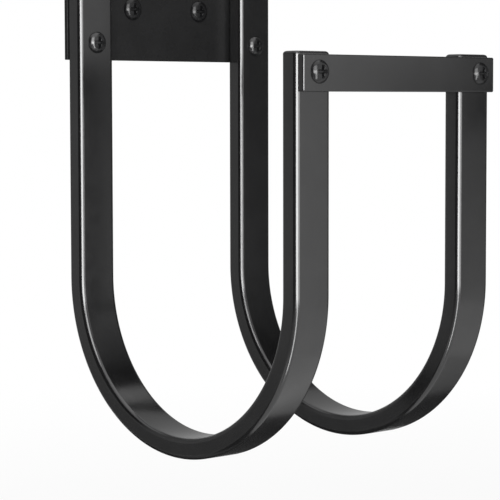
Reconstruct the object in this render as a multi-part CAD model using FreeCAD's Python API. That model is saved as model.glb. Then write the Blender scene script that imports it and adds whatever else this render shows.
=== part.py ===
import FreeCAD, Part
import math
import os

from FreeCAD import Vector

# Wall hose hanger: two hooks of bent rectangular tube, screwed to a flat wall plate at the back
# and joined across their front legs by a flat bar.
# Millimetres. +Z is up, +Y goes into the wall, and +X is right for someone facing the wall.
# The origin is the centre of the wall plate's back face, midway between the two wall screws.

# Hook tube
TUBE_WIDTH = 26.5
TUBE_DEPTH = 12.6
TUBE_WALL = 1.5
TUBE_INNER_CORNER = 1.5

# Hooks: a half-circle bend with a straight leg on each end
HOOK_SPACING = 133.0
CRADLE_GAP = 178.5
FRONT_LEG = 133.8
BACK_LEG = 199.0

# Wall plate
PLATE_HEIGHT = 65.0
PLATE_THICKNESS = 3.0
PLATE_EDGE = 0.5

# Front crossbar
BAR_HEIGHT = 20.5
BAR_THICKNESS = 4.5
BAR_END_INSET = 1.0
BAR_EDGE = 0.6

# Tube end caps: a rounded head over a hollow, ribbed stem
CAP_HEAD = 1.9
CAP_RIM = 0.2
CAP_STEM_WALL = 1.4
CAP_RIB_STEP = 0.5
CAP_RIB_THICKNESS = 0.8
CAP_RIB_COUNT = 2
CAP_FIT = 0.1
CAP_NUT_GAP = 0.5

# Pan-head machine screws of the hooks and the crossbar
SCREW_DIA = 6.0
SCREW_HEAD_DIA = 13.2
SCREW_CHAMFER = 0.8
SCREW_HOLE_PLAY = 0.6
TAPPED_PLAY = 0.1
HOOK_SCREW_EDGE = 10.5
HOOK_SCREW_SETBACK = 0.4
BAR_SCREW_EDGE = 9.6
BAR_SCREW_PROUD = 1.0

# Square nuts of the crossbar screws, inside the front legs
NUT_SIZE = 10.0
NUT_THICKNESS = 5.0
NUT_EDGE = 0.5

# Pan-head wall screws: a plain neck in the plate, then a thread that starts at the wall
WALL_SCREW_SPACING = 55.5
WALL_SCREW_DIA = 6.0
WALL_SCREW_NECK_DIA = 5.0
WALL_SCREW_HEAD_DIA = 14.0
WALL_SCREW_LENGTH = 40.0
WALL_SCREW_POINT = 7.0
WALL_SCREW_HOLE_PLAY = 1.0

# Head form and cross recess, common to all the screws
HEAD_RIM = 0.2
HEAD_SHOULDER = 2.5
HEAD_CROWN_RADIUS = 40.0
RECESS_SPAN = 7.7
RECESS_WIDTH = 1.8
RECESS_DEPTH = 2.6
RECESS_TIP_SPAN = 4.6
RECESS_TIP_WIDTH = 0.5

# How far a cutting tool runs past the face that it starts from
CUT_PAST = 0.5

# Places that follow from the sizes above
TUBE_CORNER = TUBE_INNER_CORNER + TUBE_WALL
TUBE_INNER_WIDTH = TUBE_WIDTH - 2 * TUBE_WALL
TUBE_INNER_DEPTH = TUBE_DEPTH - 2 * TUBE_WALL
HANGER_WIDTH = HOOK_SPACING + TUBE_WIDTH
BEND_RADIUS = (CRADLE_GAP + TUBE_DEPTH) / 2
BACK_LEG_FRONT = -PLATE_THICKNESS - TUBE_DEPTH
BACK_LEG_Y = -PLATE_THICKNESS - TUBE_DEPTH / 2
BEND_Y = BACK_LEG_Y - BEND_RADIUS
FRONT_LEG_Y = BEND_Y - BEND_RADIUS
FRONT_LEG_FRONT = FRONT_LEG_Y - TUBE_DEPTH / 2
BACK_TOP = PLATE_HEIGHT / 2
BEND_Z = BACK_TOP - BACK_LEG
FRONT_TOP = BEND_Z + FRONT_LEG
BAR_Z = FRONT_TOP - BAR_HEIGHT / 2
BAR_SCREW_Z = FRONT_TOP - BAR_SCREW_EDGE
BAR_FRONT = FRONT_LEG_FRONT - BAR_THICKNESS
HOOK_X = (-HOOK_SPACING / 2, HOOK_SPACING / 2)
HOOK_SCREW_Z = (HOOK_SCREW_EDGE - PLATE_HEIGHT / 2, PLATE_HEIGHT / 2 - HOOK_SCREW_EDGE)
HOOK_SCREW_LENGTH = TUBE_DEPTH + PLATE_THICKNESS - HOOK_SCREW_SETBACK
BAR_SCREW_LENGTH = BAR_THICKNESS + TUBE_WALL + NUT_THICKNESS + BAR_SCREW_PROUD
WALL_SCREW_X = (-WALL_SCREW_SPACING / 2, WALL_SCREW_SPACING / 2)
CAP_STEM = BAR_SCREW_EDGE - NUT_SIZE / 2 - CAP_NUT_GAP

UP = Vector(0, 0, 1)
TO_WALL = Vector(0, 1, 0)
QUARTER_TURN = 90
HALF_TURN = 180
FULL_TURN = 360


def rounded_rectangle(width, depth, radius):
    """Closed outline in the XY plane, centred on the origin, with round corners."""
    arcs = []
    for corner, (sign_x, sign_y) in enumerate(((1, 1), (-1, 1), (-1, -1), (1, -1))):
        centre = Vector(sign_x * (width / 2 - radius), sign_y * (depth / 2 - radius), 0)
        start = corner * QUARTER_TURN
        arcs.append(Part.makeCircle(radius, centre, UP, start, start + QUARTER_TURN))
    edges = []
    for arc, following in zip(arcs, arcs[1:] + arcs[:1]):
        edges.append(arc)
        edges.append(Part.makeLine(arc.lastVertex().Point, following.firstVertex().Point))
    return Part.Wire(edges)


def rounded_prism(width, depth, radius, bottom, top):
    """Upright bar of rounded-rectangle section between two heights."""
    face = Part.Face(rounded_rectangle(width, depth, radius))
    return face.translated(UP * bottom).extrude(UP * (top - bottom))


def rounded_block(width, depth, height, centre, edge):
    """Flat stock with all its edges rounded, by its centre point."""
    corner = centre - Vector(width, depth, height) / 2
    block = Part.makeBox(width, depth, height, corner)
    return block.makeFillet(edge, block.Edges)


def hole(diameter, start, length):
    """Round tool along +Y from a point, running past both of its ends."""
    outside = start - TO_WALL * CUT_PAST
    return Part.makeCylinder(diameter / 2, length + 2 * CUT_PAST, outside, TO_WALL)


def hook(x):
    """Bent tube with the clearance holes for its screws."""
    outer = rounded_rectangle(TUBE_WIDTH, TUBE_DEPTH, TUBE_CORNER)
    inner = rounded_rectangle(TUBE_INNER_WIDTH, TUBE_INNER_DEPTH, TUBE_INNER_CORNER)
    section = Part.makeFace([outer, inner], "Part::FaceMakerCheese")
    front_section = section.translated(Vector(x, FRONT_LEG_Y, BEND_Z))
    back_section = section.translated(Vector(x, BACK_LEG_Y, BEND_Z))
    front = front_section.extrude(UP * FRONT_LEG)
    bend = front_section.revolve(Vector(x, BEND_Y, BEND_Z), Vector(1, 0, 0), HALF_TURN)
    back = back_section.extrude(UP * BACK_LEG)
    tube = front.fuse([bend, back]).removeSplitter()
    clearance = SCREW_DIA + SCREW_HOLE_PLAY
    holes = [hole(clearance, Vector(x, BACK_LEG_FRONT, z), TUBE_DEPTH) for z in HOOK_SCREW_Z]
    holes.append(hole(clearance, Vector(x, FRONT_LEG_FRONT, BAR_SCREW_Z), TUBE_WALL))
    return tube.cut(holes)


def wall_plate():
    """Flat plate, tapped for the hook screws and drilled for the wall screws."""
    centre = Vector(0, -PLATE_THICKNESS / 2, 0)
    plate = rounded_block(HANGER_WIDTH, PLATE_THICKNESS, PLATE_HEIGHT, centre, PLATE_EDGE)
    tapped = SCREW_DIA + TAPPED_PLAY
    clearance = WALL_SCREW_DIA + WALL_SCREW_HOLE_PLAY
    places = [(tapped, x, z) for x in HOOK_X for z in HOOK_SCREW_Z]
    places += [(clearance, x, 0) for x in WALL_SCREW_X]
    holes = []
    for diameter, x, z in places:
        holes.append(hole(diameter, Vector(x, -PLATE_THICKNESS, z), PLATE_THICKNESS))
    return plate.cut(holes)


def crossbar():
    """Flat bar on the front legs, its top edge level with their ends."""
    length = HANGER_WIDTH - 2 * BAR_END_INSET
    centre = Vector(0, FRONT_LEG_FRONT - BAR_THICKNESS / 2, BAR_Z)
    bar = rounded_block(length, BAR_THICKNESS, BAR_HEIGHT, centre, BAR_EDGE)
    starts = [Vector(x, BAR_FRONT, BAR_SCREW_Z) for x in HOOK_X]
    return bar.cut([hole(SCREW_DIA + SCREW_HOLE_PLAY, start, BAR_THICKNESS) for start in starts])


def end_cap(seat):
    """Cap whose head lies on the tube's end and whose ribbed stem fills its mouth."""
    head = rounded_prism(TUBE_WIDTH, TUBE_DEPTH, TUBE_CORNER, 0, CAP_HEAD)
    top_edges = [edge for edge in head.Edges if edge.BoundBox.ZMin > CAP_HEAD / 2]
    head = head.makeFillet(CAP_HEAD - CAP_RIM, top_edges)

    def inset_prism(inset, bottom, top):
        """Bar that lies this far inside the tube's inner walls."""
        width = TUBE_INNER_WIDTH - 2 * inset
        depth = TUBE_INNER_DEPTH - 2 * inset
        return rounded_prism(width, depth, TUBE_INNER_CORNER, bottom, top)

    stem_inset = CAP_FIT + CAP_RIB_STEP
    pieces = [inset_prism(stem_inset, -CAP_STEM, 0)]
    for rib in range(1, CAP_RIB_COUNT + 1):
        rib_bottom = -CAP_STEM * rib / CAP_RIB_COUNT
        pieces.append(inset_prism(CAP_FIT, rib_bottom, rib_bottom + CAP_RIB_THICKNESS))
    hollow = inset_prism(stem_inset + CAP_STEM_WALL, -CAP_STEM - CUT_PAST, 0)
    cap = head.fuse(pieces).cut(hollow).removeSplitter()
    return cap.translated(seat)


def head_outline(diameter):
    """Edges of half a pan head from its crown to its rim, seat at y = 0 and crown towards -Y."""
    shoulder = Vector(diameter / 2 - HEAD_SHOULDER, -HEAD_RIM, 0)
    reach = math.sqrt((HEAD_CROWN_RADIUS - HEAD_SHOULDER) ** 2 - shoulder.x**2)
    crown = Vector(0, shoulder.y + reach, 0)
    lean = math.asin(shoulder.x / (HEAD_CROWN_RADIUS - HEAD_SHOULDER))

    def on_arc(centre, radius, angle):
        return centre + Vector(math.sin(angle), -math.cos(angle), 0) * radius

    top = on_arc(crown, HEAD_CROWN_RADIUS, 0)
    blend = on_arc(crown, HEAD_CROWN_RADIUS, lean)
    rim = on_arc(shoulder, HEAD_SHOULDER, math.pi / 2)
    crown_middle = on_arc(crown, HEAD_CROWN_RADIUS, lean / 2)
    shoulder_middle = on_arc(shoulder, HEAD_SHOULDER, (lean + math.pi / 2) / 2)
    return [
        Part.Arc(top, crown_middle, blend).toShape(),
        Part.Arc(blend, shoulder_middle, rim).toShape(),
        Part.makeLine(rim, Vector(diameter / 2, 0, 0)),
    ]


def cross_recess(crown_y):
    """Two tapering wings that cross in the head, their full size level with its crown."""
    wings = []
    for turn in (0, QUARTER_TURN):
        outlines = []
        for depth in (-CUT_PAST, RECESS_DEPTH):
            share = depth / RECESS_DEPTH
            span = RECESS_SPAN + share * (RECESS_TIP_SPAN - RECESS_SPAN)
            width = RECESS_WIDTH + share * (RECESS_TIP_WIDTH - RECESS_WIDTH)
            y = crown_y + depth
            corners = [(-1, -1), (1, -1), (1, 1), (-1, 1), (-1, -1)]
            points = [Vector(i * span / 2, y, j * width / 2) for i, j in corners]
            outlines.append(Part.makePolygon(points))
        wing = Part.makeLoft(outlines, True, True)
        wings.append(wing.rotated(Vector(0, 0, 0), TO_WALL, turn))
    return wings


def screw(head_diameter, shank):
    """Screw along +Y with its head's seat at the origin; shank lists (radius, depth) corners."""
    edges = head_outline(head_diameter)
    crown_y = edges[0].firstVertex().Point.y
    corners = [Vector(head_diameter / 2, 0, 0)]
    corners += [Vector(radius, depth, 0) for radius, depth in shank]
    corners.append(Vector(0, crown_y, 0))
    edges.append(Part.makePolygon(corners))
    outline = Part.Wire([edge for shape in edges for edge in shape.Edges])
    body = Part.Face(outline).revolve(Vector(0, 0, 0), TO_WALL, FULL_TURN)
    return body.cut(cross_recess(crown_y))


def machine_screw(length):
    """Screw with a plain cylinder at its thread's outer diameter and a chamfered end."""
    radius = SCREW_DIA / 2
    shank = [
        (radius, 0),
        (radius, length - SCREW_CHAMFER),
        (radius - SCREW_CHAMFER, length),
        (0, length),
    ]
    return screw(SCREW_HEAD_DIA, shank)


def wall_screw():
    """Pointed screw whose thread stands out of the plate's back face."""
    neck = WALL_SCREW_NECK_DIA / 2
    thread = WALL_SCREW_DIA / 2
    shank = [
        (neck, 0),
        (neck, PLATE_THICKNESS),
        (thread, PLATE_THICKNESS),
        (thread, WALL_SCREW_LENGTH - WALL_SCREW_POINT),
        (0, WALL_SCREW_LENGTH),
    ]
    return screw(WALL_SCREW_HEAD_DIA, shank)


def square_nut():
    """Nut behind the tube's front wall, its front face at y = 0."""
    centre = TO_WALL * (NUT_THICKNESS / 2)
    nut = rounded_block(NUT_SIZE, NUT_THICKNESS, NUT_SIZE, centre, NUT_EDGE)
    return nut.cut(hole(SCREW_DIA + TAPPED_PLAY, Vector(0, 0, 0), NUT_THICKNESS))


def copies(shape, places):
    """One group of separate, identical solids."""
    return Part.makeCompound([shape.translated(place) for place in places])


def hanger():
    """All the pieces of the hanger by name, in place."""
    pieces = {"wall_plate": wall_plate(), "front_crossbar": crossbar()}
    for side, x in zip(("left", "right"), HOOK_X):
        pieces[f"{side}_hook"] = hook(x)
        pieces[f"front_{side}_end_cap"] = end_cap(Vector(x, FRONT_LEG_Y, FRONT_TOP))
        pieces[f"rear_{side}_end_cap"] = end_cap(Vector(x, BACK_LEG_Y, BACK_TOP))
    hook_places = [Vector(x, BACK_LEG_FRONT, z) for x in HOOK_X for z in HOOK_SCREW_Z]
    pieces["hook_screws"] = copies(machine_screw(HOOK_SCREW_LENGTH), hook_places)
    bar_places = [Vector(x, BAR_FRONT, BAR_SCREW_Z) for x in HOOK_X]
    pieces["crossbar_screws"] = copies(machine_screw(BAR_SCREW_LENGTH), bar_places)
    nut_places = [Vector(x, FRONT_LEG_FRONT + TUBE_WALL, BAR_SCREW_Z) for x in HOOK_X]
    pieces["crossbar_nuts"] = copies(square_nut(), nut_places)
    wall_places = [Vector(x, -PLATE_THICKNESS, 0) for x in WALL_SCREW_X]
    pieces["wall_screws"] = copies(wall_screw(), wall_places)
    return pieces


os.makedirs("parts", exist_ok=True)
for name, shape in hanger().items():
    shape.exportStep(os.path.join("parts", f"{name}.step"))
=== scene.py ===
"""Dresses the wall hose hanger with modelled pieces, procedural finishes and a plain studio.

All lengths are in metres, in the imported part's own frame: +Z up, +Y into the wall, and +X to the right for
someone who faces the wall.
"""

import logging
import math
from collections.abc import Sequence
from dataclasses import dataclass, replace
from enum import Enum

import bmesh
import bpy
from bmesh.types import BMEdge, BMesh, BMFace, BMVert
from bpy.types import Material, Node, NodeSocket, NodeTree, Object
from mathutils import Matrix, Vector


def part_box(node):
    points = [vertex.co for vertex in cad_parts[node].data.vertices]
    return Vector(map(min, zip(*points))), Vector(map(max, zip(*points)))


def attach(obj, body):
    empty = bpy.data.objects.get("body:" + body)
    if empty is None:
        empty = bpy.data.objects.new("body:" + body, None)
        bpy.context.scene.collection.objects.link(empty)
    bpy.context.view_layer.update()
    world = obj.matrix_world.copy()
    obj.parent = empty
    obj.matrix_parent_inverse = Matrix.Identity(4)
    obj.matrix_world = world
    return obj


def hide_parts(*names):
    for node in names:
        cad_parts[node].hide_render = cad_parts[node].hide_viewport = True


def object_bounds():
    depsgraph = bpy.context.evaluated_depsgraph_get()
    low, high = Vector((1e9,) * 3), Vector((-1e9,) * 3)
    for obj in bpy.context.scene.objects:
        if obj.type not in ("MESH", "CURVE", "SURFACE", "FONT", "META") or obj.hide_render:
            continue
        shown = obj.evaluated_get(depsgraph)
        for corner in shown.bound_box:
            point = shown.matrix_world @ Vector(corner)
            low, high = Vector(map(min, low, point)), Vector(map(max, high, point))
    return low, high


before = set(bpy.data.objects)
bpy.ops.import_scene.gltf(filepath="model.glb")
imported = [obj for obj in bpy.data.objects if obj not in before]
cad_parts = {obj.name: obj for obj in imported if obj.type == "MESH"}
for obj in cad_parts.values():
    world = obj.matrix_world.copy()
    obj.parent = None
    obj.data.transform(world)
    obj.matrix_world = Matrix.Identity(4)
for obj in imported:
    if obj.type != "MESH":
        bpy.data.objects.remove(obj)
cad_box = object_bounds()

LOG = logging.getLogger("hose_hanger")
BODY = "root"
MM = 0.001
MERGE_DISTANCE = 0.001 * MM
CORNER_SEGMENTS = 8
DRILL_FACETS = 48
FLAT_FACE_WEIGHT = 100
CREASE = math.radians(35.0)
TUBE_WALL = 1.5 * MM
TUBE_CORNER = 3.0 * MM
SCREW_HOLE = 6.6 * MM
TAPPED_HOLE = 6.1 * MM
CUT_PAST = 0.5 * MM
LOFT_GAP = 10.0 * MM
NOISE_LOW = 0.3
NOISE_HIGH = 0.7
MOTTLE_DETAIL = 4.0
GLOSS_DETAIL = 3.0
RELIEF_DETAIL = 2.0
WATTS_PER_RADIANCE = 4.0
QUARTER_TURN = math.pi / 2
FULL_CIRCLE = 360.0
MIDDLE: Vector = (cad_box[0] + cad_box[1]) / 2
ORIGIN = Vector((0.0, 0.0, 0.0))
RIGHT = Vector((1.0, 0.0, 0.0))
TO_WALL = Vector((0.0, 1.0, 0.0))
UP = Vector((0.0, 0.0, 1.0))

Colour = tuple[float, float, float]
Rgba = tuple[float, float, float, float]
Point = tuple[float, float]
Outline = list[Point]

WHITE: Rgba = (1.0, 1.0, 1.0, 1.0)
PALE: Rgba = (0.9, 0.9, 0.9, 1.0)


class Slot(Enum):
    """Material slots of the part's record."""

    BLACK_COAT = "black_coat"
    BLACK_PLASTIC = "black_plastic"
    BLACK_SCREW = "black_screw"


class Side(Enum):
    """The two hooks, named as someone who faces the wall sees them."""

    LEFT = "left"
    RIGHT = "right"

    @property
    def hook(self) -> str:
        """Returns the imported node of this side's hook."""
        return f"{self.value}_hook"


class Leg(Enum):
    """The two legs of a hook."""

    FRONT = "front"
    REAR = "rear"

    def cap(self, side: Side) -> str:
        """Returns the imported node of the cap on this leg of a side's hook."""
        return f"{self.value}_{side.value}_end_cap"


@dataclass(frozen=True)
class Box:
    """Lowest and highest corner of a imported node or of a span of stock."""

    low: Vector
    high: Vector

    @classmethod
    def of(cls, node: str) -> "Box":
        """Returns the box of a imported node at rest."""
        low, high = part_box(node)
        return cls(Vector(low), Vector(high))

    @property
    def centre(self) -> Vector:
        """Returns the middle of the box."""
        return (self.low + self.high) / 2

    @property
    def size(self) -> Vector:
        """Returns the three lengths of the box."""
        return self.high - self.low


# Mesh operations that several pieces share


def mix(start: float, end: float, share: float) -> float:
    """Returns the value this share of the way from a start to an end."""
    return start + (end - start) * share


def picked(geometry: Sequence[BMVert | BMEdge | BMFace], kind: type) -> list:
    """Returns the elements of one kind from an operator's result."""
    return [element for element in geometry if isinstance(element, kind)]


@dataclass(frozen=True)
class Level:
    """Outline of a level rectangle with round corners, centred on the Z axis."""

    width: float
    depth: float
    corner: float
    height: float


def rounded_face(bm: BMesh, level: Level) -> BMFace:
    """Adds the face inside an outline.

    Args:
        bm: Mesh that gets the face.
        level: The outline.

    Returns:
        The new face.
    """
    corners = bmesh.ops.create_grid(bm, x_segments=1, y_segments=1, size=0.5)["verts"]
    bmesh.ops.scale(bm, vec=(level.width, level.depth, 1.0), verts=corners)
    bmesh.ops.translate(bm, vec=UP * level.height, verts=corners)
    rounded = bmesh.ops.bevel(
        bm,
        geom=corners,
        affect="VERTICES",
        offset=level.corner,
        segments=CORNER_SEGMENTS,
        profile=0.5,
        material=-1,
    )
    return rounded["verts"][0].link_faces[0]


def rounded_block(bm: BMesh, box: Box, edge: float, segments: int) -> None:
    """Adds a piece of flat stock with all its edges rounded.

    Args:
        bm: Mesh that gets the block.
        box: Place and size of the block.
        edge: Radius of the edges.
        segments: Facets across one rounded edge.
    """
    corners = bmesh.ops.create_cube(bm, size=1.0)["verts"]
    bmesh.ops.scale(bm, vec=box.size, verts=corners)
    bmesh.ops.translate(bm, vec=box.centre, verts=corners)
    bmesh.ops.bevel(
        bm,
        geom=bm.edges[:],
        affect="EDGES",
        offset=edge,
        segments=segments,
        profile=0.5,
        material=-1,
    )


def straight_run(bm: BMesh, faces: list[BMFace], travel: Vector) -> list[BMFace]:
    """Extrudes a section along a straight line.

    Args:
        bm: Mesh that holds the section.
        faces: The section's faces.
        travel: Direction and length of the run.

    Returns:
        The faces at the far end.
    """
    grown = bmesh.ops.extrude_face_region(bm, geom=faces)["geom"]
    bmesh.ops.translate(bm, vec=travel, verts=picked(grown, BMVert))
    return picked(grown, BMFace)


def loft(bm: BMesh, levels: Sequence[Level]) -> None:
    """Joins outlines in order into one closed skin.

    They are joined while they lie apart, because outlines in one plane aren't bridged corner to corner.

    Args:
        bm: Mesh that gets the skin.
        levels: The outlines; the first and the last get lids.
    """
    apart = [replace(level, height=place * LOFT_GAP) for place, level in enumerate(levels)]
    faces = [rounded_face(bm, level) for level in apart]
    corners = [list(face.verts) for face in faces]
    rings = [list(face.edges) for face in faces]
    bmesh.ops.delete(bm, geom=faces[1:-1], context="FACES_ONLY")
    for ring, following in zip(rings, rings[1:]):
        bmesh.ops.bridge_loops(bm, edges=ring + following)
    for level, start, verts in zip(levels, apart, corners):
        bmesh.ops.translate(bm, vec=UP * (level.height - start.height), verts=verts)


def point_at(centre: Point, distance: float, angle: float) -> Point:
    """Finds a point of an outline of (radius, depth) points by its place round another.

    Args:
        centre: The other point.
        distance: Distance from it.
        angle: Angle from straight up the screw's axis towards its rim, in radians.

    Returns:
        The point.
    """
    return centre[0] + distance * math.sin(angle), centre[1] - distance * math.cos(angle)


def arc(centre: Point, radius: float, start: float, end: float, count: int) -> Outline:
    """Works out the points of an arc.

    Args:
        centre: Middle of the arc.
        radius: Radius of the arc.
        start: First angle, as for point_at.
        end: Last angle.
        count: Number of steps.

    Returns:
        The arc's points, both ends included.
    """
    angles = [start + (end - start) * step / count for step in range(count + 1)]
    return [point_at(centre, radius, angle) for angle in angles]


def turned(bm: BMesh, outline: Outline, steps: int) -> None:
    """Turns an outline of (radius, depth) points into a solid round the Y axis.

    Args:
        bm: Mesh that gets the solid.
        outline: Points from one end of the axis to the other.
        steps: Facets round the axis.
    """
    verts = [bm.verts.new((radius, depth, 0.0)) for radius, depth in outline]
    edges = [bm.edges.new(pair) for pair in zip(verts, verts[1:])]
    bmesh.ops.spin(
        bm,
        geom=verts + edges,
        cent=ORIGIN,
        axis=TO_WALL,
        angle=math.tau,
        steps=steps,
        use_merge=True,
    )


def new_object(bm: BMesh, name: str) -> Object:
    """Makes an object at the origin of a finished bmesh, with its faces turned outwards.

    Args:
        bm: Mesh with its place in it, which is freed.
        name: Name of the object.

    Returns:
        The object, linked to the scene.
    """
    bmesh.ops.dissolve_degenerate(bm, dist=MERGE_DISTANCE, edges=bm.edges)
    bmesh.ops.remove_doubles(bm, verts=bm.verts, dist=MERGE_DISTANCE)
    bmesh.ops.recalc_face_normals(bm, faces=bm.faces)
    mesh = bpy.data.meshes.new(name)
    bm.to_mesh(mesh)
    bm.free()
    made = bpy.data.objects.new(name, mesh)
    bpy.context.scene.collection.objects.link(made)
    return made


def discard(thing: Object) -> None:
    """Removes a helper object and its mesh.

    Args:
        thing: The helper.
    """
    mesh = thing.data
    bpy.data.objects.remove(thing)
    bpy.data.meshes.remove(mesh)


def cut(piece: Object, tool: BMesh) -> None:
    """Takes a tool's volume out of a piece.

    Args:
        piece: Object that is cut.
        tool: Closed shapes, which are freed.
    """
    cutter = new_object(tool, f"{piece.name}_tool")
    difference = piece.modifiers.new("difference", "BOOLEAN")
    difference.operation = "DIFFERENCE"
    difference.solver = "EXACT"
    difference.object = cutter
    whole = piece.data
    evaluated = piece.evaluated_get(bpy.context.evaluated_depsgraph_get())
    piece.data = bpy.data.meshes.new_from_object(evaluated)
    piece.modifiers.clear()
    bpy.data.meshes.remove(whole)
    piece.data.name = piece.name
    discard(cutter)


@dataclass(frozen=True)
class Hole:
    """A round hole along +Y."""

    diameter: float
    mouth: Vector
    depth: float

    def add_tool(self, bm: BMesh) -> None:
        """Adds a drill that runs past both ends of the hole.

        Args:
            bm: Mesh that gets the drill.
        """
        lying = Matrix.Rotation(-QUARTER_TURN, 4, "X")
        standing = Matrix.Translation(self.mouth + TO_WALL * (self.depth / 2)) @ lying
        bmesh.ops.create_cone(
            bm,
            cap_ends=True,
            cap_tris=False,
            segments=DRILL_FACETS,
            radius1=self.diameter / 2,
            radius2=self.diameter / 2,
            depth=self.depth + 2 * CUT_PAST,
            matrix=standing,
        )


def drill(piece: Object, holes: Sequence[Hole]) -> None:
    """Drills a piece.

    Args:
        piece: Object that is drilled.
        holes: Its holes.
    """
    tools = bmesh.new()
    for hole in holes:
        hole.add_tool(tools)
    cut(piece, tools)


def shade(piece: Object) -> None:
    """Shades a piece smooth, with flat faces that stay flat and creases that stay sharp.

    Args:
        piece: Object that is shaded.
    """
    piece.data.shade_smooth()
    piece.data.set_sharp_from_angle(angle=CREASE)
    weighting = piece.modifiers.new("even_normals", "WEIGHTED_NORMAL")
    weighting.mode = "FACE_AREA"
    weighting.weight = FLAT_FACE_WEIGHT
    weighting.keep_sharp = True


# Finishes


class NodeBench:
    """A node tree with short calls to add and link nodes."""

    def __init__(self, tree: NodeTree) -> None:
        """Clears the tree and keeps it."""
        tree.nodes.clear()
        self.tree = tree

    def add(self, kind: str, operation: str = "", **values: float | Rgba) -> Node:
        """Adds a node.

        Args:
            kind: Type of the node.
            operation: What a node of arithmetic does.
            **values: Input values, by socket name with underscores for spaces.

        Returns:
            The new node.
        """
        node = self.tree.nodes.new(kind)
        if operation:
            node.operation = operation
        for name, value in values.items():
            node.inputs[name.replace("_", " ")].default_value = value
        return node

    def link(self, source: NodeSocket, target: NodeSocket) -> None:
        """Links two sockets."""
        self.tree.links.new(source, target)

    def feed(self, node: Node, *sources: NodeSocket) -> NodeSocket:
        """Links sockets to a node's inputs, in the inputs' order.

        Args:
            node: The node.
            *sources: Sockets for its first inputs.

        Returns:
            The node's first output.
        """
        for source, target in zip(sources, node.inputs):
            self.link(source, target)
        return node.outputs[0]

    def seen_directly(self) -> NodeSocket:
        """Adds a switch for rays that show the room itself: camera, glossy and transmission rays.

        Returns:
            1 on those rays, 0 on the rest.
        """
        rays = self.add("ShaderNodeLightPath").outputs
        total = rays["Is Camera Ray"]
        for name in ("Is Glossy Ray", "Is Transmission Ray"):
            total = self.feed(self.add("ShaderNodeMath", "MAXIMUM"), total, rays[name])
        return total


class ShaderTree(NodeBench):
    """Node tree of one material, with a Principled shader on its output."""

    def __init__(self, name: str) -> None:
        """Starts the material.

        Args:
            name: Name of the material.
        """
        self.material: Material = bpy.data.materials.new(name)
        self.material.use_nodes = True
        super().__init__(self.material.node_tree)
        self.surface = self.add("ShaderNodeBsdfPrincipled")
        self.output = self.add("ShaderNodeOutputMaterial")
        self.link(self.surface.outputs["BSDF"], self.output.inputs["Surface"])
        self.coordinates = self.add("ShaderNodeTexCoord").outputs["Object"]

    def noise(self, scale: float, detail: float) -> NodeSocket:
        """Adds a noise on object coordinates.

        Args:
            scale: Cells in a metre.
            detail: Octaves of finer noise.

        Returns:
            The noise's value.
        """
        return self.feed(self.add("ShaderNodeTexNoise", Scale=scale, Detail=detail), self.coordinates)

    def spread(self, value: NodeSocket, low: float, high: float) -> NodeSocket:
        """Maps a noise to a range.

        Args:
            value: Noise value, mostly between its two ends.
            low: Result at the noise's low end.
            high: Result at its high end.

        Returns:
            The mapped value.
        """
        ends = {"From_Min": NOISE_LOW, "From_Max": NOISE_HIGH, "To_Min": low, "To_Max": high}
        return self.feed(self.add("ShaderNodeMapRange", **ends), value)

    def tint(self, value: NodeSocket, dark: Colour, light: Colour) -> NodeSocket:
        """Blends two colours by a noise.

        Args:
            value: Noise value, mostly between its two ends.
            dark: Colour at the noise's low end.
            light: Colour at its high end.

        Returns:
            The blended colour.
        """
        ramp = self.add("ShaderNodeValToRGB")
        stops = ((NOISE_LOW, dark), (NOISE_HIGH, light))
        for element, (position, colour) in zip(ramp.color_ramp.elements, stops):
            element.position = position
            element.color = (*colour, 1.0)
        return self.feed(ramp, value)

    def bump(self, value: NodeSocket, depth: float, strength: float) -> None:
        """Bends the surface's normal by a height.

        Args:
            value: Height between 0 and 1.
            depth: Real depth of the relief.
            strength: Share of the relief that shows.
        """
        node = self.add("ShaderNodeBump", Strength=strength, Distance=depth)
        self.link(value, node.inputs["Height"])
        self.link(node.outputs["Normal"], self.surface.inputs["Normal"])


@dataclass(frozen=True)
class Finish:
    """A surface with mottled colour, uneven gloss and a fine relief."""

    name: str
    dark: Colour
    light: Colour
    gloss: tuple[float, float]
    specular: float
    mottle_scale: float
    gloss_scale: float
    relief_scale: float
    relief_depth: float
    relief_strength: float
    metallic: float = 0.0

    def material(self) -> Material:
        """Builds the material.

        Returns:
            A new procedural material.
        """
        shader = ShaderTree(self.name)
        surface = shader.surface.inputs
        surface["Metallic"].default_value = self.metallic
        surface["Specular IOR Level"].default_value = self.specular
        mottle = shader.noise(self.mottle_scale, MOTTLE_DETAIL)
        shader.link(shader.tint(mottle, self.dark, self.light), surface["Base Color"])
        sheen = shader.noise(self.gloss_scale, GLOSS_DETAIL)
        shader.link(shader.spread(sheen, *self.gloss), surface["Roughness"])
        relief = shader.noise(self.relief_scale, RELIEF_DETAIL)
        shader.bump(relief, self.relief_depth, self.relief_strength)
        return shader.material


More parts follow.
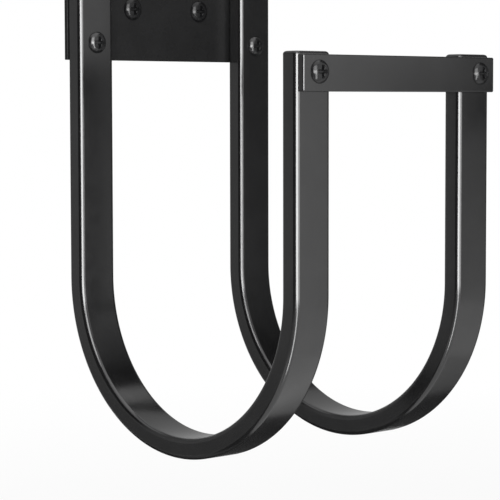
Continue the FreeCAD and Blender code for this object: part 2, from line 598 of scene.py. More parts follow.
POWDER_COAT = Finish(
    name="black_powder_coat",
    dark=(0.0055, 0.0055, 0.0058),
    light=(0.0085, 0.0085, 0.0088),
    gloss=(0.16, 0.19),
    specular=0.8,
    mottle_scale=55.0,
    gloss_scale=160.0,
    relief_scale=900.0,
    relief_depth=0.005 * MM,
    relief_strength=0.3,
)
PLATE_COAT = replace(
    POWDER_COAT,
    name="black_plate_coat",
    dark=(0.0125, 0.0125, 0.0128),
    light=(0.0155, 0.0155, 0.0158),
    gloss=(0.26, 0.30),
    specular=0.12,
)
CAP_PLASTIC = Finish(
    name="satin_black_plastic",
    dark=(0.0075, 0.0075, 0.008),
    light=(0.011, 0.011, 0.0115),
    gloss=(0.24, 0.30),
    specular=0.6,
    mottle_scale=90.0,
    gloss_scale=300.0,
    relief_scale=2200.0,
    relief_depth=0.02 * MM,
    relief_strength=0.6,
)
SCREW_BLACK = Finish(
    name="black_plated_steel",
    dark=(0.006, 0.006, 0.0065),
    light=(0.010, 0.010, 0.0105),
    gloss=(0.17, 0.23),
    specular=0.4,
    mottle_scale=220.0,
    gloss_scale=600.0,
    relief_scale=1800.0,
    relief_depth=0.01 * MM,
    relief_strength=0.5,
)
HOOK_SCREW_BLACK = replace(SCREW_BLACK, name="black_plated_hook_screw", specular=0.65)
WALL_SCREW_BLACK = replace(SCREW_BLACK, name="black_plated_wall_screw", specular=0.3)
NUT_ZINC = Finish(
    name="zinc_plated_steel",
    dark=(0.42, 0.43, 0.45),
    light=(0.56, 0.57, 0.58),
    gloss=(0.28, 0.42),
    specular=0.5,
    mottle_scale=260.0,
    gloss_scale=500.0,
    relief_scale=1500.0,
    relief_depth=0.02 * MM,
    relief_strength=0.4,
    metallic=1.0,
)


def dress(piece: Object, material: Material, node: str) -> None:
    """Shades a piece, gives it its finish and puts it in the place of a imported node.

    Args:
        piece: Finished object.
        material: Its material.
        node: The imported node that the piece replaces.
    """
    shade(piece)
    piece.data.materials.clear()
    piece.data.materials.append(material)
    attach(piece, BODY)
    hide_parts(node)
    LOG.info("%s stands for %s, %d faces", piece.name, node, len(piece.data.polygons))


# Sub-assemblies


@dataclass
class TubeHook:
    """Rectangular tube bent to a U, drilled for the screws that hold it and the crossbar."""

    side: Side
    bend_steps: int = 128

    def build(self, material: Material) -> None:
        """Models the tube, drills it and dresses it.

        Args:
            material: The coat on the tube.
        """
        piece = new_object(self.tube(), f"{self.side.value}_bent_tube")
        drill(piece, self.holes())
        dress(piece, material, self.side.hook)

    def tube(self) -> BMesh:
        """Bends a hollow section from the front leg's end to the back leg's end.

        Returns:
            The open tube.
        """
        hook = Box.of(self.side.hook)
        section = Box.of(Leg.FRONT.cap(self.side))
        front_end = Box.of("front_crossbar").high.z
        bend_z = hook.low.z + hook.size.y / 2
        bm = bmesh.new()
        outer = rounded_face(bm, Level(section.size.x, section.size.y, TUBE_CORNER, front_end))
        bmesh.ops.translate(bm, vec=(section.centre.x, section.centre.y, 0.0), verts=bm.verts)
        rim = bmesh.ops.inset_region(
            bm,
            faces=[outer],
            thickness=TUBE_WALL,
            use_boundary=True,
            use_even_offset=True,
        )["faces"]
        bmesh.ops.delete(bm, geom=[outer], context="FACES_ONLY")
        bend_start = straight_run(bm, rim, UP * (bend_z - front_end))
        bend = bmesh.ops.spin(
            bm,
            geom=bend_start,
            cent=(hook.centre.x, hook.centre.y, bend_z),
            axis=RIGHT,
            angle=math.pi,
            steps=self.bend_steps,
        )["geom_last"]
        bend_end = picked(bend, BMFace)
        straight_run(bm, bend_end, UP * (hook.high.z - bend_z))
        bmesh.ops.delete(bm, geom=bend_start + bend_end, context="FACES")
        return bm

    def holes(self) -> list[Hole]:
        """Lists the holes for the plate screws and the crossbar screw.

        Returns:
            Two holes through the back leg and one in the front leg's front wall.
        """
        hook = Box.of(self.side.hook)
        back_leg = Box.of(Leg.REAR.cap(self.side))
        bar_screw = Box.of("crossbar_screws")
        holes = []
        for height in ScrewSet.plate_heights():
            mouth = Vector((hook.centre.x, back_leg.low.y, height))
            holes.append(Hole(SCREW_HOLE, mouth, back_leg.size.y))
        holes.append(Hole(SCREW_HOLE, Vector((hook.centre.x, hook.low.y, bar_screw.centre.z)), TUBE_WALL))
        return holes


@dataclass
class FlatStock:
    """Flat steel with rounded edges and holes through it."""

    node: str
    name: str
    edge: float
    edge_segments: int

    def holes(self, stock: Box) -> list[Hole]:
        """Lists the holes in the stock, none unless the piece says otherwise."""
        return []

    def build(self, material: Material) -> None:
        """Models the stock, drills it and dresses it.

        Args:
            material: The coat on it.
        """
        stock = Box.of(self.node)
        bm = bmesh.new()
        rounded_block(bm, stock, self.edge, self.edge_segments)
        piece = new_object(bm, self.name)
        drill(piece, self.holes(stock))
        dress(piece, material, self.node)


@dataclass
class WallPlate(FlatStock):
    """Flat plate behind the hooks, tapped for their screws and drilled for the wall screws."""

    node: str = "wall_plate"
    name: str = "flat_wall_plate"
    edge: float = 0.5 * MM
    edge_segments: int = 3
    wall_hole: float = 7.0 * MM

    def holes(self, stock: Box) -> list[Hole]:
        """Lists the plate's holes.

        Args:
            stock: The plate's box.

        Returns:
            The tapped holes, then the clear ones.
        """
        holes = []
        for place in ScrewSet.plate_places():
            holes.append(Hole(TAPPED_HOLE, Vector((place.x, stock.low.y, place.z)), stock.size.y))
        holes += [Hole(self.wall_hole, place, stock.size.y) for place in ScrewSet.wall_places()]
        return holes


@dataclass
class Crossbar(FlatStock):
    """Flat bar that ties the two front legs together."""

    node: str = "front_crossbar"
    name: str = "flat_crossbar"
    edge: float = 0.9 * MM
    edge_segments: int = 5

    def holes(self, stock: Box) -> list[Hole]:
        """Returns the two holes for the screws that hold the bar."""
        return [Hole(SCREW_HOLE, place, stock.size.y) for place in ScrewSet.bar_places()]


@dataclass
class EndCap:
    """Moulded cap with a rounded head on the tube's end and a ribbed hollow stem in its mouth."""

    node: str
    head: float = 1.9 * MM
    rim: float = 0.2 * MM
    rounding: float = 2.5 * MM
    fit: float = 0.1 * MM
    rib_step: float = 0.5 * MM
    rib_thickness: float = 0.8 * MM
    rib_count: int = 2
    stem_wall: float = 1.4 * MM
    stem_corner: float = 1.5 * MM
    rounding_steps: int = 8

    def build(self, material: Material) -> None:
        """Lofts the cap through its outlines and dresses it.

        Args:
            material: The plastic.
        """
        cap = Box.of(self.node)
        seat = Vector((cap.centre.x, cap.centre.y, cap.high.z - self.head))
        bm = bmesh.new()
        loft(bm, self.levels(cap.size))
        bmesh.ops.translate(bm, vec=seat, verts=bm.verts)
        piece = new_object(bm, self.node.replace("end_cap", "tube_cap"))
        dress(piece, material, self.node)

    def levels(self, size: Vector) -> list[Level]:
        """Lists the outlines from the stem's hollow, round its mouth and up to the head's top.

        Args:
            size: The cap's width, depth and height.

        Returns:
            The outlines in order, with the head's seat at height 0.
        """

        def level(inset: float, height: float, corner: float) -> Level:
            """Returns an outline that lies this far inside the tube's outside."""
            return Level(size.x - 2 * inset, size.y - 2 * inset, corner, height)

        stem = size.z - self.head
        rib = TUBE_WALL + self.fit
        core = rib + self.rib_step
        hollow = core + self.stem_wall
        pitch = stem / self.rib_count
        path = [(hollow, 0.0), (hollow, -stem)]
        for step in range(self.rib_count):
            bottom = step * pitch - stem
            top = bottom + self.rib_thickness
            path += [(rib, bottom), (rib, top), (core, top), (core, bottom + pitch)]
        levels = [level(inset, height, self.stem_corner) for inset, height in path]
        levels.append(level(0.0, 0.0, TUBE_CORNER))
        rise = self.head - self.rim
        for step in range(self.rounding_steps + 1):
            angle = QUARTER_TURN * step / self.rounding_steps
            inset = self.rounding * (1.0 - math.cos(angle))
            height = self.rim + rise * math.sin(angle)
            levels.append(level(inset, height, TUBE_CORNER - inset))
        return levels


@dataclass(frozen=True)
class PanHead:
    """Round screw head: a flat crown, a sloping flank, a short upright rim and a cross recess."""

    diameter: float
    rim: float = 0.25 * MM
    foot_radius: float = 0.5 * MM
    flank_radius: float = 5.45 * MM
    flank_low: float = math.radians(62.0)
    flank_high: float = math.radians(30.0)
    lip_radius: float = 0.6 * MM
    crown_radius: float = 40.0 * MM
    seat_edge: float = 0.15 * MM
    recess_span: float = 7.7 * MM
    recess_width: float = 2.2 * MM
    recess_depth: float = 2.6 * MM
    recess_tip_span: float = 4.6 * MM
    recess_tip_width: float = 0.9 * MM
    recess_edge: float = 0.2 * MM
    recess_corner: float = 0.12
    arc_steps: int = 8
    small_arc_steps: int = 3
    edge_steps: int = 4

    def outline(self) -> Outline:
        """Works out half the head's outline.

        Returns:
            Points of (radius, depth) from the crown's middle to the seat, which lies at depth 0.
        """
        # Arcs meet smoothly where both middles lie on one line with the meeting point
        foot = (self.diameter / 2 - self.foot_radius, -self.rim)
        flank = point_at(foot, self.foot_radius - self.flank_radius, self.flank_low)
        lip = point_at(flank, self.flank_radius - self.lip_radius, self.flank_high)
        lean = math.asin(lip[0] / (self.crown_radius - self.lip_radius))
        crown = point_at(lip, self.lip_radius - self.crown_radius, lean)
        edge = (self.diameter / 2 - self.seat_edge, -self.seat_edge)
        points = arc(crown, self.crown_radius, 0.0, lean, self.arc_steps)
        points += arc(lip, self.lip_radius, lean, self.flank_high, self.small_arc_steps)[1:]
        points += arc(flank, self.flank_radius, self.flank_high, self.flank_low, self.arc_steps)[1:]
        points += arc(foot, self.foot_radius, self.flank_low, QUARTER_TURN, self.small_arc_steps)[1:]
        points += arc(edge, self.seat_edge, QUARTER_TURN, math.pi, self.small_arc_steps)
        return points

    def wing_level(self, depth: float, flare: float) -> Level:
        """Works out the outline of one of the driver's wings at a depth.

        Args:
            depth: Depth below the crown.
            flare: How far the wing is widened on each side.

        Returns:
            The outline, on a head that stands upright on its seat.
        """
        share = depth / self.recess_depth
        span = mix(self.recess_span, self.recess_tip_span, share) + 2 * flare
        width = mix(self.recess_width, self.recess_tip_width, share) + 2 * flare
        crown = -self.outline()[0][1]
        return Level(span, width, width * self.recess_corner, crown - depth)

    def recess_wing(self, turn: float) -> BMesh:
        """Shapes one of the driver's two wings: it tapers to its tip and rounds over into the crown.

        Args:
            turn: Angle round the screw's axis, in radians.

        Returns:
            The tool, in place on a head whose seat is at the origin.
        """
        levels = [self.wing_level(self.recess_depth, 0.0)]
        for step in range(self.edge_steps, -1, -1):
            angle = QUARTER_TURN * step / self.edge_steps
            depth = self.recess_edge * (1.0 - math.cos(angle))
            levels.append(self.wing_level(depth, self.recess_edge * (1.0 - math.sin(angle))))
        levels.append(replace(levels[-1], height=levels[-1].height + CUT_PAST))
        wing = bmesh.new()
        loft(wing, levels)
        lying = Matrix.Rotation(QUARTER_TURN, 3, "X")
        turning = Matrix.Rotation(turn, 3, "Y")
        bmesh.ops.rotate(wing, cent=ORIGIN, matrix=turning @ lying, verts=wing.verts)
        return wing


@dataclass(frozen=True)
class Thread:
    """Helical ridge of a screw."""

    root: float
    crest: float
    pitch: float
    flat: float
    sink: float = 0.05 * MM
    steps: int = 24

    def ridge(self, start: float, end: float) -> BMesh:
        """Winds the ridge along the screw's axis.

        Args:
            start: Depth of the first turn's middle below the seat.
            end: Depth of the last turn's middle.

        Returns:
            The closed ridge, sunk a little into the shank's root.
        """
        bm = bmesh.new()
        sunk = self.root / 2 - self.sink
        height = self.crest / 2 - sunk
        base = self.pitch - self.flat
        profile = bmesh.ops.create_grid(bm, x_segments=1, y_segments=1, size=0.5)["verts"]
        bmesh.ops.scale(bm, vec=(height, base, 1.0), verts=profile)
        outer = [vert for vert in profile if vert.co.x > 0.0]
        bmesh.ops.scale(bm, vec=(1.0, self.flat / base, 1.0), verts=outer)
        bmesh.ops.translate(bm, vec=(sunk + height / 2, start, 0.0), verts=profile)
        turns = (end - start) / self.pitch
        steps = max(1, round(turns * self.steps))
        bmesh.ops.spin(
            bm,
            geom=bm.faces[:],
            cent=ORIGIN,
            axis=TO_WALL,
            dvec=TO_WALL * ((end - start) / steps),
            angle=math.tau * turns,
            steps=steps,
        )
        bmesh.ops.recalc_face_normals(bm, faces=bm.faces)
        return bm


MACHINE_HEAD = PanHead(diameter=13.2 * MM)
WALL_HEAD = PanHead(diameter=14.0 * MM)
MACHINE_THREAD = Thread(root=4.9 * MM, crest=6.0 * MM, pitch=1.0 * MM, flat=0.15 * MM)
WALL_THREAD = Thread(root=4.2 * MM, crest=6.0 * MM, pitch=2.6 * MM, flat=0.2 * MM)


@dataclass
class ScrewSet:
    """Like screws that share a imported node, all along +Y."""

    node: str
    name: str
    head: PanHead
    thread: Thread
    seats: list[Vector]
    thread_start: float
    point: float
    neck: float
    finish: Finish = SCREW_BLACK
    tip_share: float = 0.05
    facets: int = 64

    @staticmethod
    def plate_heights() -> tuple[float, float]:
        """Returns the lower and the upper height of the screws that hold the hooks to the plate."""
        box = Box.of("hook_screws")
        return box.low.z + MACHINE_HEAD.diameter / 2, box.high.z - MACHINE_HEAD.diameter / 2

    @staticmethod
    def hook_centres() -> tuple[float, float]:
        """Returns the X of the left and the right hook's middle."""
        return tuple(Box.of(side.hook).centre.x for side in Side)

    @classmethod
    def plate_places(cls) -> list[Vector]:
        """Finds the screws that hold the hooks to the plate.

        Returns:
            Their seats on the back legs.
        """
        seat = Box.of(Leg.REAR.cap(Side.LEFT)).low.y
        return [Vector((x, seat, z)) for x in cls.hook_centres() for z in cls.plate_heights()]

    @classmethod
    def bar_places(cls) -> list[Vector]:
        """Finds the screws that hold the crossbar.

        Returns:
            Their seats on the bar.
        """
        seat = Box.of("front_crossbar").low.y
        height = Box.of("crossbar_screws").centre.z
        return [Vector((x, seat, height)) for x in cls.hook_centres()]

    @classmethod
    def wall_places(cls) -> list[Vector]:
        """Finds the screws that go into the wall.

        Returns:
            Their seats on the plate.
        """
        box = Box.of("wall_screws")
        plate = Box.of("wall_plate")
        reach = WALL_HEAD.diameter / 2
        return [Vector((x, plate.low.y, box.centre.z)) for x in (box.low.x + reach, box.high.x - reach)]

    def build(self) -> None:
        """Models one screw, sets a copy on each seat and dresses them."""
        screw = self.screw()
        bm = bmesh.new()
        for seat in self.seats:
            known = len(bm.verts)
            bm.from_mesh(screw.data)
            bm.verts.ensure_lookup_table()
            bmesh.ops.translate(bm, vec=seat, verts=bm.verts[known:])
        discard(screw)
        piece = new_object(bm, self.name)
        dress(piece, self.finish.material(), self.node)

    def screw(self) -> Object:
        """Models one screw with its seat at the origin.

        Returns:
            A helper object.
        """
        length = Box.of(self.node).high.y - self.seats[0].y
        bm = bmesh.new()
        turned(bm, self.head.outline() + self.shank(length), self.facets)
        made = new_object(bm, f"{self.name}_one")
        for turn in (0.0, QUARTER_TURN):
            cut(made, self.head.recess_wing(turn))
        ridge = self.thread.ridge(self.thread_start, length - self.thread.pitch / 2)
        self.taper(ridge, length)
        whole = bmesh.new()
        whole.from_mesh(made.data)
        ridge_mesh = bpy.data.meshes.new("ridge")
        ridge.to_mesh(ridge_mesh)
        ridge.free()
        whole.from_mesh(ridge_mesh)
        bpy.data.meshes.remove(ridge_mesh)
        whole.to_mesh(made.data)
        whole.free()
        return made

    def shank(self, length: float) -> Outline:
        """Works out the shank's outline below the head.

        Args:
            length: From the seat to the tip.

        Returns:
            Points of (radius, depth) down to the axis.
        """
        neck = self.neck / 2
        root = self.thread.root / 2
        tip = 0.0 if self.point > root else root - self.point
        fall = self.thread_start - (neck - root)
        points = [(neck, 0.0), (neck, fall), (root, self.thread_start), (root, length - self.point)]
        points.append((tip, length))
        if tip > 0.0:
            points.append((0.0, length))
        return points

    def taper(self, ridge: BMesh, length: float) -> None:
        """Draws the last turns of the ridge in towards the screw's tip.

        Args:
            ridge: The wound ridge.
            length: From the seat to the tip.
        """
        for vert in ridge.verts:
            left = (length - vert.co.y) / self.point
            if left < 1.0:
                vert.co.x *= max(left, self.tip_share)
                vert.co.z *= max(left, self.tip_share)


# Camera and studio


@dataclass
class PhotoCamera:
    """Camera at the photograph's viewpoint."""

    place: tuple[float, float, float] = (-0.86622, -1.02420, -0.05987)
    yaw: float = 42.6
    pitch: float = 4.03
    roll: float = -0.11
    focal_pixels: float = 2073.67
    image_pixels: float = 500.0
    sensor_mm: float = 36.0

    def build(self) -> None:
        """Makes the camera and gives it to the scene."""
        yaw, pitch, roll = (math.radians(angle) for angle in (self.yaw, self.pitch, self.roll))
        ahead = Vector((math.sin(yaw) * math.cos(pitch), math.cos(yaw) * math.cos(pitch), -math.sin(pitch)))
        level = Vector((math.cos(yaw), -math.sin(yaw), 0.0))
        above = level.cross(ahead)
        right = level * math.cos(roll) + above * math.sin(roll)
        up = above * math.cos(roll) - level * math.sin(roll)
        lens = bpy.data.cameras.new("photo_camera")
        lens.sensor_width = self.sensor_mm
        lens.lens = self.focal_pixels / self.image_pixels * self.sensor_mm
        camera = bpy.data.objects.new("photo_camera", lens)
        turn = Matrix((right, up, -ahead)).transposed().to_4x4()
        camera.matrix_world = Matrix.Translation(Vector(self.place)) @ turn
        bpy.context.scene.collection.objects.link(camera)
        bpy.context.scene.camera = camera


def bearing(azimuth: float, distance: float, height: float) -> Vector:
    """Finds a place in the studio.

    Args:
        azimuth: Degrees round the hanger: 0 in front of the plate, 90 to its right.
        distance: Distance from the hanger's upright axis.
        height: Z of the place.

    Returns:
        The place.
    """
    angle = math.radians(azimuth)
    return Vector((MIDDLE.x + distance * math.sin(angle), MIDDLE.y - distance * math.cos(angle), height))


@dataclass(frozen=True)
class SoftBox:
    """Rectangular lamp that faces the hanger's middle."""

    name: str
    azimuth: float
    distance: float
    height: float
    width: float
    tall: float
    radiance: float

    def build(self) -> None:
        """Sets the lamp up."""
        lamp = bpy.data.lights.new(self.name, "AREA")
        lamp.shape = "RECTANGLE"
        lamp.size = self.width
        lamp.size_y = self.tall
        lamp.energy = self.radiance * WATTS_PER_RADIANCE * self.width * self.tall
        stand = bpy.data.objects.new(self.name, lamp)
        stand.location = bearing(self.azimuth, self.distance, self.height)
        stand.rotation_euler = (MIDDLE - stand.location).to_track_quat("-Z", "Y").to_euler()
        stand.visible_camera = False
        bpy.context.scene.collection.objects.link(stand)


@dataclass(frozen=True)
class Tone:
    """Glow of a painted-reflection card at one azimuth, in its upper and its lower part: 0 paints a black
    reflection, 1 a white one, and more paints a highlight brighter than white.
    """

    azimuth: float
    upper: float
    lower: float


Tones = tuple[Tone, ...]


def graded(*stops: tuple[float, ...]) -> Tones:
    """Returns a painted-reflection card's glow tones from stops of (azimuth, tone), or (azimuth, upper,
    lower) where they differ.
    """
    return tuple(Tone(stop[0], stop[1], stop[-1]) for stop in stops)


@dataclass(frozen=True)
class PaintedReflectionCard:
    """Curved glowing card round the hanger, a painted reflection: only gloss sees it, and it lights nothing.
    Its glow changes along its length, dark where it paints reflected shade and bright where it paints
    highlights.

    Its profile of (distance, height) points is swept round an upright axis, which stands in front of the
    hanger's own by the forward distance. The lower tone turns into the upper one between the fade's heights.
    """

    name: str
    profile: tuple[Point, ...]
    tones: Tones
    fade: tuple[float, float] = (-1.0, 1.0)
    forward: float = 0.0
    step: float = 1.5

    def tone(self, azimuth: float, height: float) -> float:
        """Works out the card's glow at a place, which sets how bright its painted reflection is there.

        Args:
            azimuth: Degrees round the card's axis.
            height: Z of the place.

        Returns:
            The tone between the nearest stops.
        """
        following = next((stop for stop in self.tones[1:] if azimuth <= stop.azimuth), self.tones[-1])
        before = self.tones[self.tones.index(following) - 1]
        share = (azimuth - before.azimuth) / (following.azimuth - before.azimuth)
        upper = mix(before.upper, following.upper, share)
        lower = mix(before.lower, following.lower, share)
        low, high = self.fade
        rise = (height - low) / (high - low)
        return mix(lower, upper, min(max(rise, 0.0), 1.0))

    def build(self) -> None:
        """Sweeps the card round its axis and gives each of its corners its tone."""
        start = self.tones[0].azimuth
        sweep = self.tones[-1].azimuth - start
        shift = TO_WALL * -self.forward
        axis = bearing(0.0, 0.0, 0.0) + shift
        bm = bmesh.new()
        line = [bm.verts.new(bearing(start, distance, height) + shift) for distance, height in self.profile]
        edges = [bm.edges.new(pair) for pair in zip(line, line[1:])]
        bmesh.ops.spin(
            bm,
            geom=line + edges,
            cent=axis,
            axis=UP,
            angle=math.radians(sweep),
            steps=round(sweep / self.step),
        )
        layer = bm.verts.layers.float.new("tone")
        for vert in bm.verts:
            azimuth = math.degrees(math.atan2(vert.co.x - axis.x, axis.y - vert.co.y))
            along = (azimuth - start + self.step / 2) % FULL_CIRCLE - self.step / 2
            vert[layer] = self.tone(start + along, vert.co.z)
        card = new_object(bm, self.name)
        card.data.materials.append(self.material())
        # Only gloss sees the card: its glow is a painted reflection and lights nothing
        card.visible_camera = False
        card.visible_diffuse = False
        card.visible_transmission = False
        card.visible_shadow = False

    def material(self) -> Material:
        """Makes a surface that glows as bright as its tone, which is the painted reflection.

        Returns:
            A new material.
        """
        shader = ShaderTree(self.name)
        tone = shader.add("ShaderNodeAttribute")
        tone.attribute_name = "tone"
        # The glow that paints the reflection, with painted highlights where it is bright and painted
        # reflected shade where it is dark
        glow = shader.add("ShaderNodeEmission", Color=WHITE)
        shader.link(tone.outputs["Fac"], glow.inputs["Strength"])
        shader.link(glow.outputs["Emission"], shader.output.inputs["Surface"])
        return shader.material


@dataclass
class Studio:
    """White room with four soft lamps, a pale floor, and glowing cards that paint reflections: only the
    hanger's gloss shows them, as painted highlights and painted reflected shade.
    """

    floor_drop: float = 0.18
    floor_radius: float = 1.6
    ambient: float = 0.2
    floor_white: float = 0.8
    floor_roughness: float = 0.9
    floor_facets: int = 96
    near_distance: float = 0.42
    knee: float = -0.25
    shin: float = -0.17
    chin: float = -0.085
    lip: float = -0.07
    brow: float = -0.045
    crown: float = 0.0
    near_top: float = 0.7
    back_distance: float = 2.05
    key_card_distance: float = 2.1
    far_top: float = 2.2
    upper_foot: float = 0.4
    lower_start: float = 0.35
    axis_gap: float = 0.01
    floor_card_radius: float = 0.6
    floor_card_forward: float = 0.066
    ring_radius: float = 2.0
    card_lift: float = 1.0 * MM
    soft_boxes: tuple[SoftBox, ...] = (
        SoftBox("key_light", -38.5, 2.2, -0.08, 1.47, 0.8, 10.0),
        SoftBox("shoulder_light", -2.5, 2.2, -0.08, 1.39, 0.8, 3.2),
        SoftBox("overhead_light", 0.0, 0.3, 1.5, 1.5, 1.5, 0.5),
        SoftBox("rear_light", 170.0, 2.2, 0.5, 1.2, 1.0, 5.0),
    )
    # Glow tones of the cards: low tones paint reflected shade, tones near 1 and above paint reflected light
    # and highlights
    front_tones: Tones = graded(
        (22.0, 1.0), (27.0, 0.88, 0.95), (31.0, 0.74, 0.80), (35.0, 0.48, 0.50), (37.5, 0.50, 0.44),
        (39.5, 0.52, 0.58), (42.0, 0.40, 0.78), (45.0, 0.32, 0.74), (49.0, 0.25, 0.40), (55.0, 0.15),
        (70.0, 0.02), (90.0, 0.02),
    )
    bar_tones: Tones = graded(
        (22.0, 1.0), (27.0, 0.86, 0.88), (31.0, 0.72, 0.74), (35.0, 0.48), (37.5, 0.44, 0.50),
        (39.5, 0.38, 0.52), (42.0, 0.18, 0.40), (44.0, 0.04, 0.35), (46.0, 0.04, 0.31), (49.0, 0.20, 0.25),
        (55.0, 0.15), (70.0, 0.02), (90.0, 0.02),
    )
    high_tones: Tones = graded(
        (22.0, 1.0), (27.0, 0.95, 0.88), (31.0, 0.90, 0.74), (35.0, 0.92, 0.48), (39.5, 0.88, 0.43),
        (41.5, 0.36), (49.0, 0.25), (55.0, 0.15), (70.0, 0.02), (90.0, 0.02),
    )
    low_tones: Tones = graded(
        (22.0, 0.95), (36.0, 0.95), (44.0, 0.81), (54.0, 0.81), (60.0, 0.6), (66.0, 0.3), (74.0, 0.05),
        (90.0, 0.02),
    )
    front_floor_tones: Tones = graded(
        (36.0, 1.0), (44.0, 1.15), (50.0, 0.72), (55.0, 0.5), (58.0, 0.55), (64.0, 0.44), (74.0, 0.28),
        (82.0, 0.12), (90.0, 0.05),
    )
    back_tones: Tones = graded(
        (60.0, 0.02), (80.0, 0.02), (83.0, 0.30), (99.0, 0.30), (102.0, 0.02), (108.0, 0.02), (114.0, 0.5),
        (156.0, 0.5), (162.0, 0.30), (213.0, 0.30), (215.0, 0.40), (232.0, 0.40), (234.0, 0.02),
        (303.0, 0.02),
    )
    floor_tones: Tones = graded(
        (90.0, 0.05), (213.0, 0.05), (215.0, 0.25), (232.0, 0.25), (234.0, 0.05), (270.0, 0.05),
    )
    ring_tones: Tones = graded(
        (90.0, 0.30), (205.0, 0.35), (213.0, 0.22), (234.0, 0.22), (242.0, 0.35), (302.0, 0.35),
    )
    # These two glow far past white and paint the highlights above and below the key light
    upper_tones: Tones = graded((303.0, 6.0), (340.0, 6.0))
    lower_tones: Tones = graded((303.0, 0.4), (323.0, 0.5), (328.0, 9.0), (340.0, 9.0))

    @property
    def floor_height(self) -> float:
        """Returns the Z of the floor."""
        return cad_box[0].z - self.floor_drop

    def cards(self) -> list[PaintedReflectionCard]:
        """Lists the glowing cards that paint reflections into the hanger's gloss.

        Returns:
            Near cards in front and on the floor, far ones behind, and bright ones above and below the key;
            dark tones paint reflected shade, bright ones painted highlights.
        """
        below = self.floor_height + self.card_lift
        foot = self.floor_height + 2 * self.card_lift
        near = self.near_distance
        far = self.key_card_distance
        back = self.back_distance
        wide = self.floor_card_radius
        front = ((near, self.knee), (near, self.shin), (near, self.chin))
        middle = ((near, self.chin), (near, self.lip), (near, self.brow))
        high = ((near, self.brow), (near, self.crown), (near, self.near_top))
        round_axis = ((self.axis_gap, foot), (wide, foot))
        # Each card glows as a painted reflection that only gloss sees
        return [
            PaintedReflectionCard("front_painted_reflection", front, self.front_tones, fade=(self.knee, self.chin)),
            PaintedReflectionCard("bar_painted_reflection", middle, self.bar_tones, fade=(self.chin, self.lip)),
            PaintedReflectionCard("high_painted_reflection", high, self.high_tones, fade=(self.brow, self.crown)),
            PaintedReflectionCard("low_painted_reflection", ((near, below), (near, self.knee)), self.low_tones),
            PaintedReflectionCard("front_floor_painted_reflection", ((self.axis_gap, below), (near, below)), self.front_floor_tones),
            PaintedReflectionCard("back_painted_reflection", ((back, -self.far_top), (back, self.far_top)), self.back_tones),
            PaintedReflectionCard("floor_painted_reflection", round_axis, self.floor_tones, forward=self.floor_card_forward),
            PaintedReflectionCard("floor_ring_painted_reflection", ((wide, below), (self.ring_radius, below)), self.ring_tones),
            PaintedReflectionCard("upper_painted_reflection", ((far, self.upper_foot), (far, self.far_top)), self.upper_tones),
            PaintedReflectionCard("lower_painted_reflection", ((self.lower_start, foot), (far, foot)), self.lower_tones),
        ]

    def build(self) -> None:
        """Sets up the room, the lamps, the glowing cards that paint reflections, and the floor."""
        bpy.context.scene.view_settings.view_transform = "Standard"
        self.world()
        for soft_box in self.soft_boxes:
            soft_box.build()
        cards = self.cards()
        for card in cards:
            card.build()
        self.floor()
        LOG.info("studio: %d lamps, %d cards and a floor", len(self.soft_boxes), len(cards))

    def world(self) -> None:
        """Makes the world white to the eye and softer as a light."""
        world = bpy.data.worlds.new("white_room")
        world.use_nodes = True
        bench = NodeBench(world.node_tree)
        soft = bench.add("ShaderNodeBackground", Color=WHITE, Strength=self.ambient)
        white = bench.add("ShaderNodeBackground", Color=WHITE, Strength=1.0)
        sources = (bench.seen_directly(), soft.outputs["Background"], white.outputs["Background"])
        either = bench.feed(bench.add("ShaderNodeMixShader"), *sources)
        output = bench.add("ShaderNodeOutputWorld")
        bench.link(either, output.inputs["Surface"])
        bpy.context.scene.world = world

    def floor(self) -> None:
        """Lays a pale round floor below the hanger that fades into the white room."""
        bm = bmesh.new()
        bmesh.ops.create_circle(bm, cap_ends=True, radius=self.floor_radius, segments=self.floor_facets)
        middle = bearing(0.0, 0.0, self.floor_height)
        bmesh.ops.translate(bm, vec=middle, verts=bm.verts)
        floor = new_object(bm, "pale_floor")
        shader = ShaderTree("pale_floor")
        surface = shader.surface.inputs
        surface["Base Color"].default_value = PALE
        surface["Roughness"].default_value = self.floor_roughness
        surface["Specular IOR Level"].default_value = 0.0
        white = shader.add("ShaderNodeEmission", Color=WHITE, Strength=1.0)
        centred = shader.add("ShaderNodeVectorMath", "DISTANCE")
        centred.inputs[1].default_value = middle
        shader.link(shader.coordinates, centred.inputs[0])
        fade = shader.add("ShaderNodeMapRange", From_Max=self.floor_radius, To_Min=self.floor_white)
        faded = shader.feed(fade, centred.outputs["Value"])
        shown = shader.feed(shader.add("ShaderNodeMath", "MULTIPLY"), faded, shader.seen_directly())
        sources = (shown, shader.surface.outputs["BSDF"], white.outputs["Emission"])
        mixed = shader.feed(shader.add("ShaderNodeMixShader"), *sources)
        shader.link(mixed, shader.output.inputs["Surface"])
        floor.data.materials.append(shader.material)


def screw_sets() -> list[ScrewSet]:
    """Lists the three kinds of screw.

    Returns:
        The sets, ready to build.
    """
    machine = {
        "head": MACHINE_HEAD,
        "thread": MACHINE_THREAD,
        "thread_start": 1.5 * MM,
        "point": 0.8 * MM,
        "neck": 5.6 * MM,
    }
    return [
        ScrewSet(
            "hook_screws",
            "hook_screw_set",
            seats=ScrewSet.plate_places(),
            finish=HOOK_SCREW_BLACK,
            **machine,
        ),
        ScrewSet("crossbar_screws", "crossbar_screw_set", seats=ScrewSet.bar_places(), **machine),
        ScrewSet(
            "wall_screws",
            "wall_screw_set",
            seats=ScrewSet.wall_places(),
            head=WALL_HEAD,
            thread=WALL_THREAD,
            thread_start=6.0 * MM,
            point=7.0 * MM,
            neck=5.0 * MM,
            finish=WALL_SCREW_BLACK,
        ),
    ]


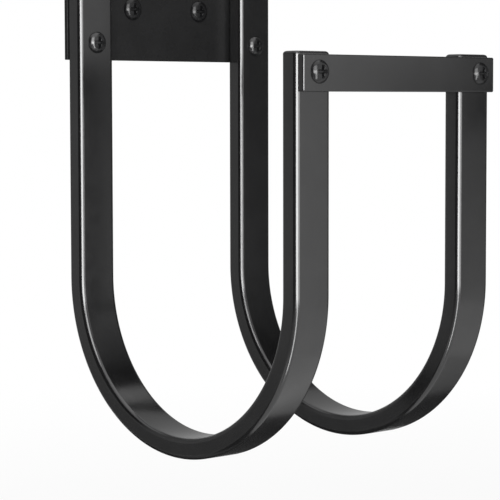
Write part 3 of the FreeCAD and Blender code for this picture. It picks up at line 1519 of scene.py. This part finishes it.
def main() -> None:
    """Builds the camera, the pieces and the studio."""
    logging.basicConfig(level=logging.INFO, format="%(name)s: %(message)s")
    PhotoCamera().build()
    coat = POWDER_COAT.material()
    plastic = CAP_PLASTIC.material()
    WallPlate().build(PLATE_COAT.material())
    for side in Side:
        TubeHook(side).build(coat)
        for leg in Leg:
            EndCap(leg.cap(side)).build(plastic)
    Crossbar().build(coat)
    for screw_set in screw_sets():
        screw_set.build()
    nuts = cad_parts["crossbar_nuts"]
    nuts.material_slots[0].material = NUT_ZINC.material()
    LOG.info("%s keeps its packed shape", nuts.name)
    Studio().build()


if __name__ == "__main__":
    main()
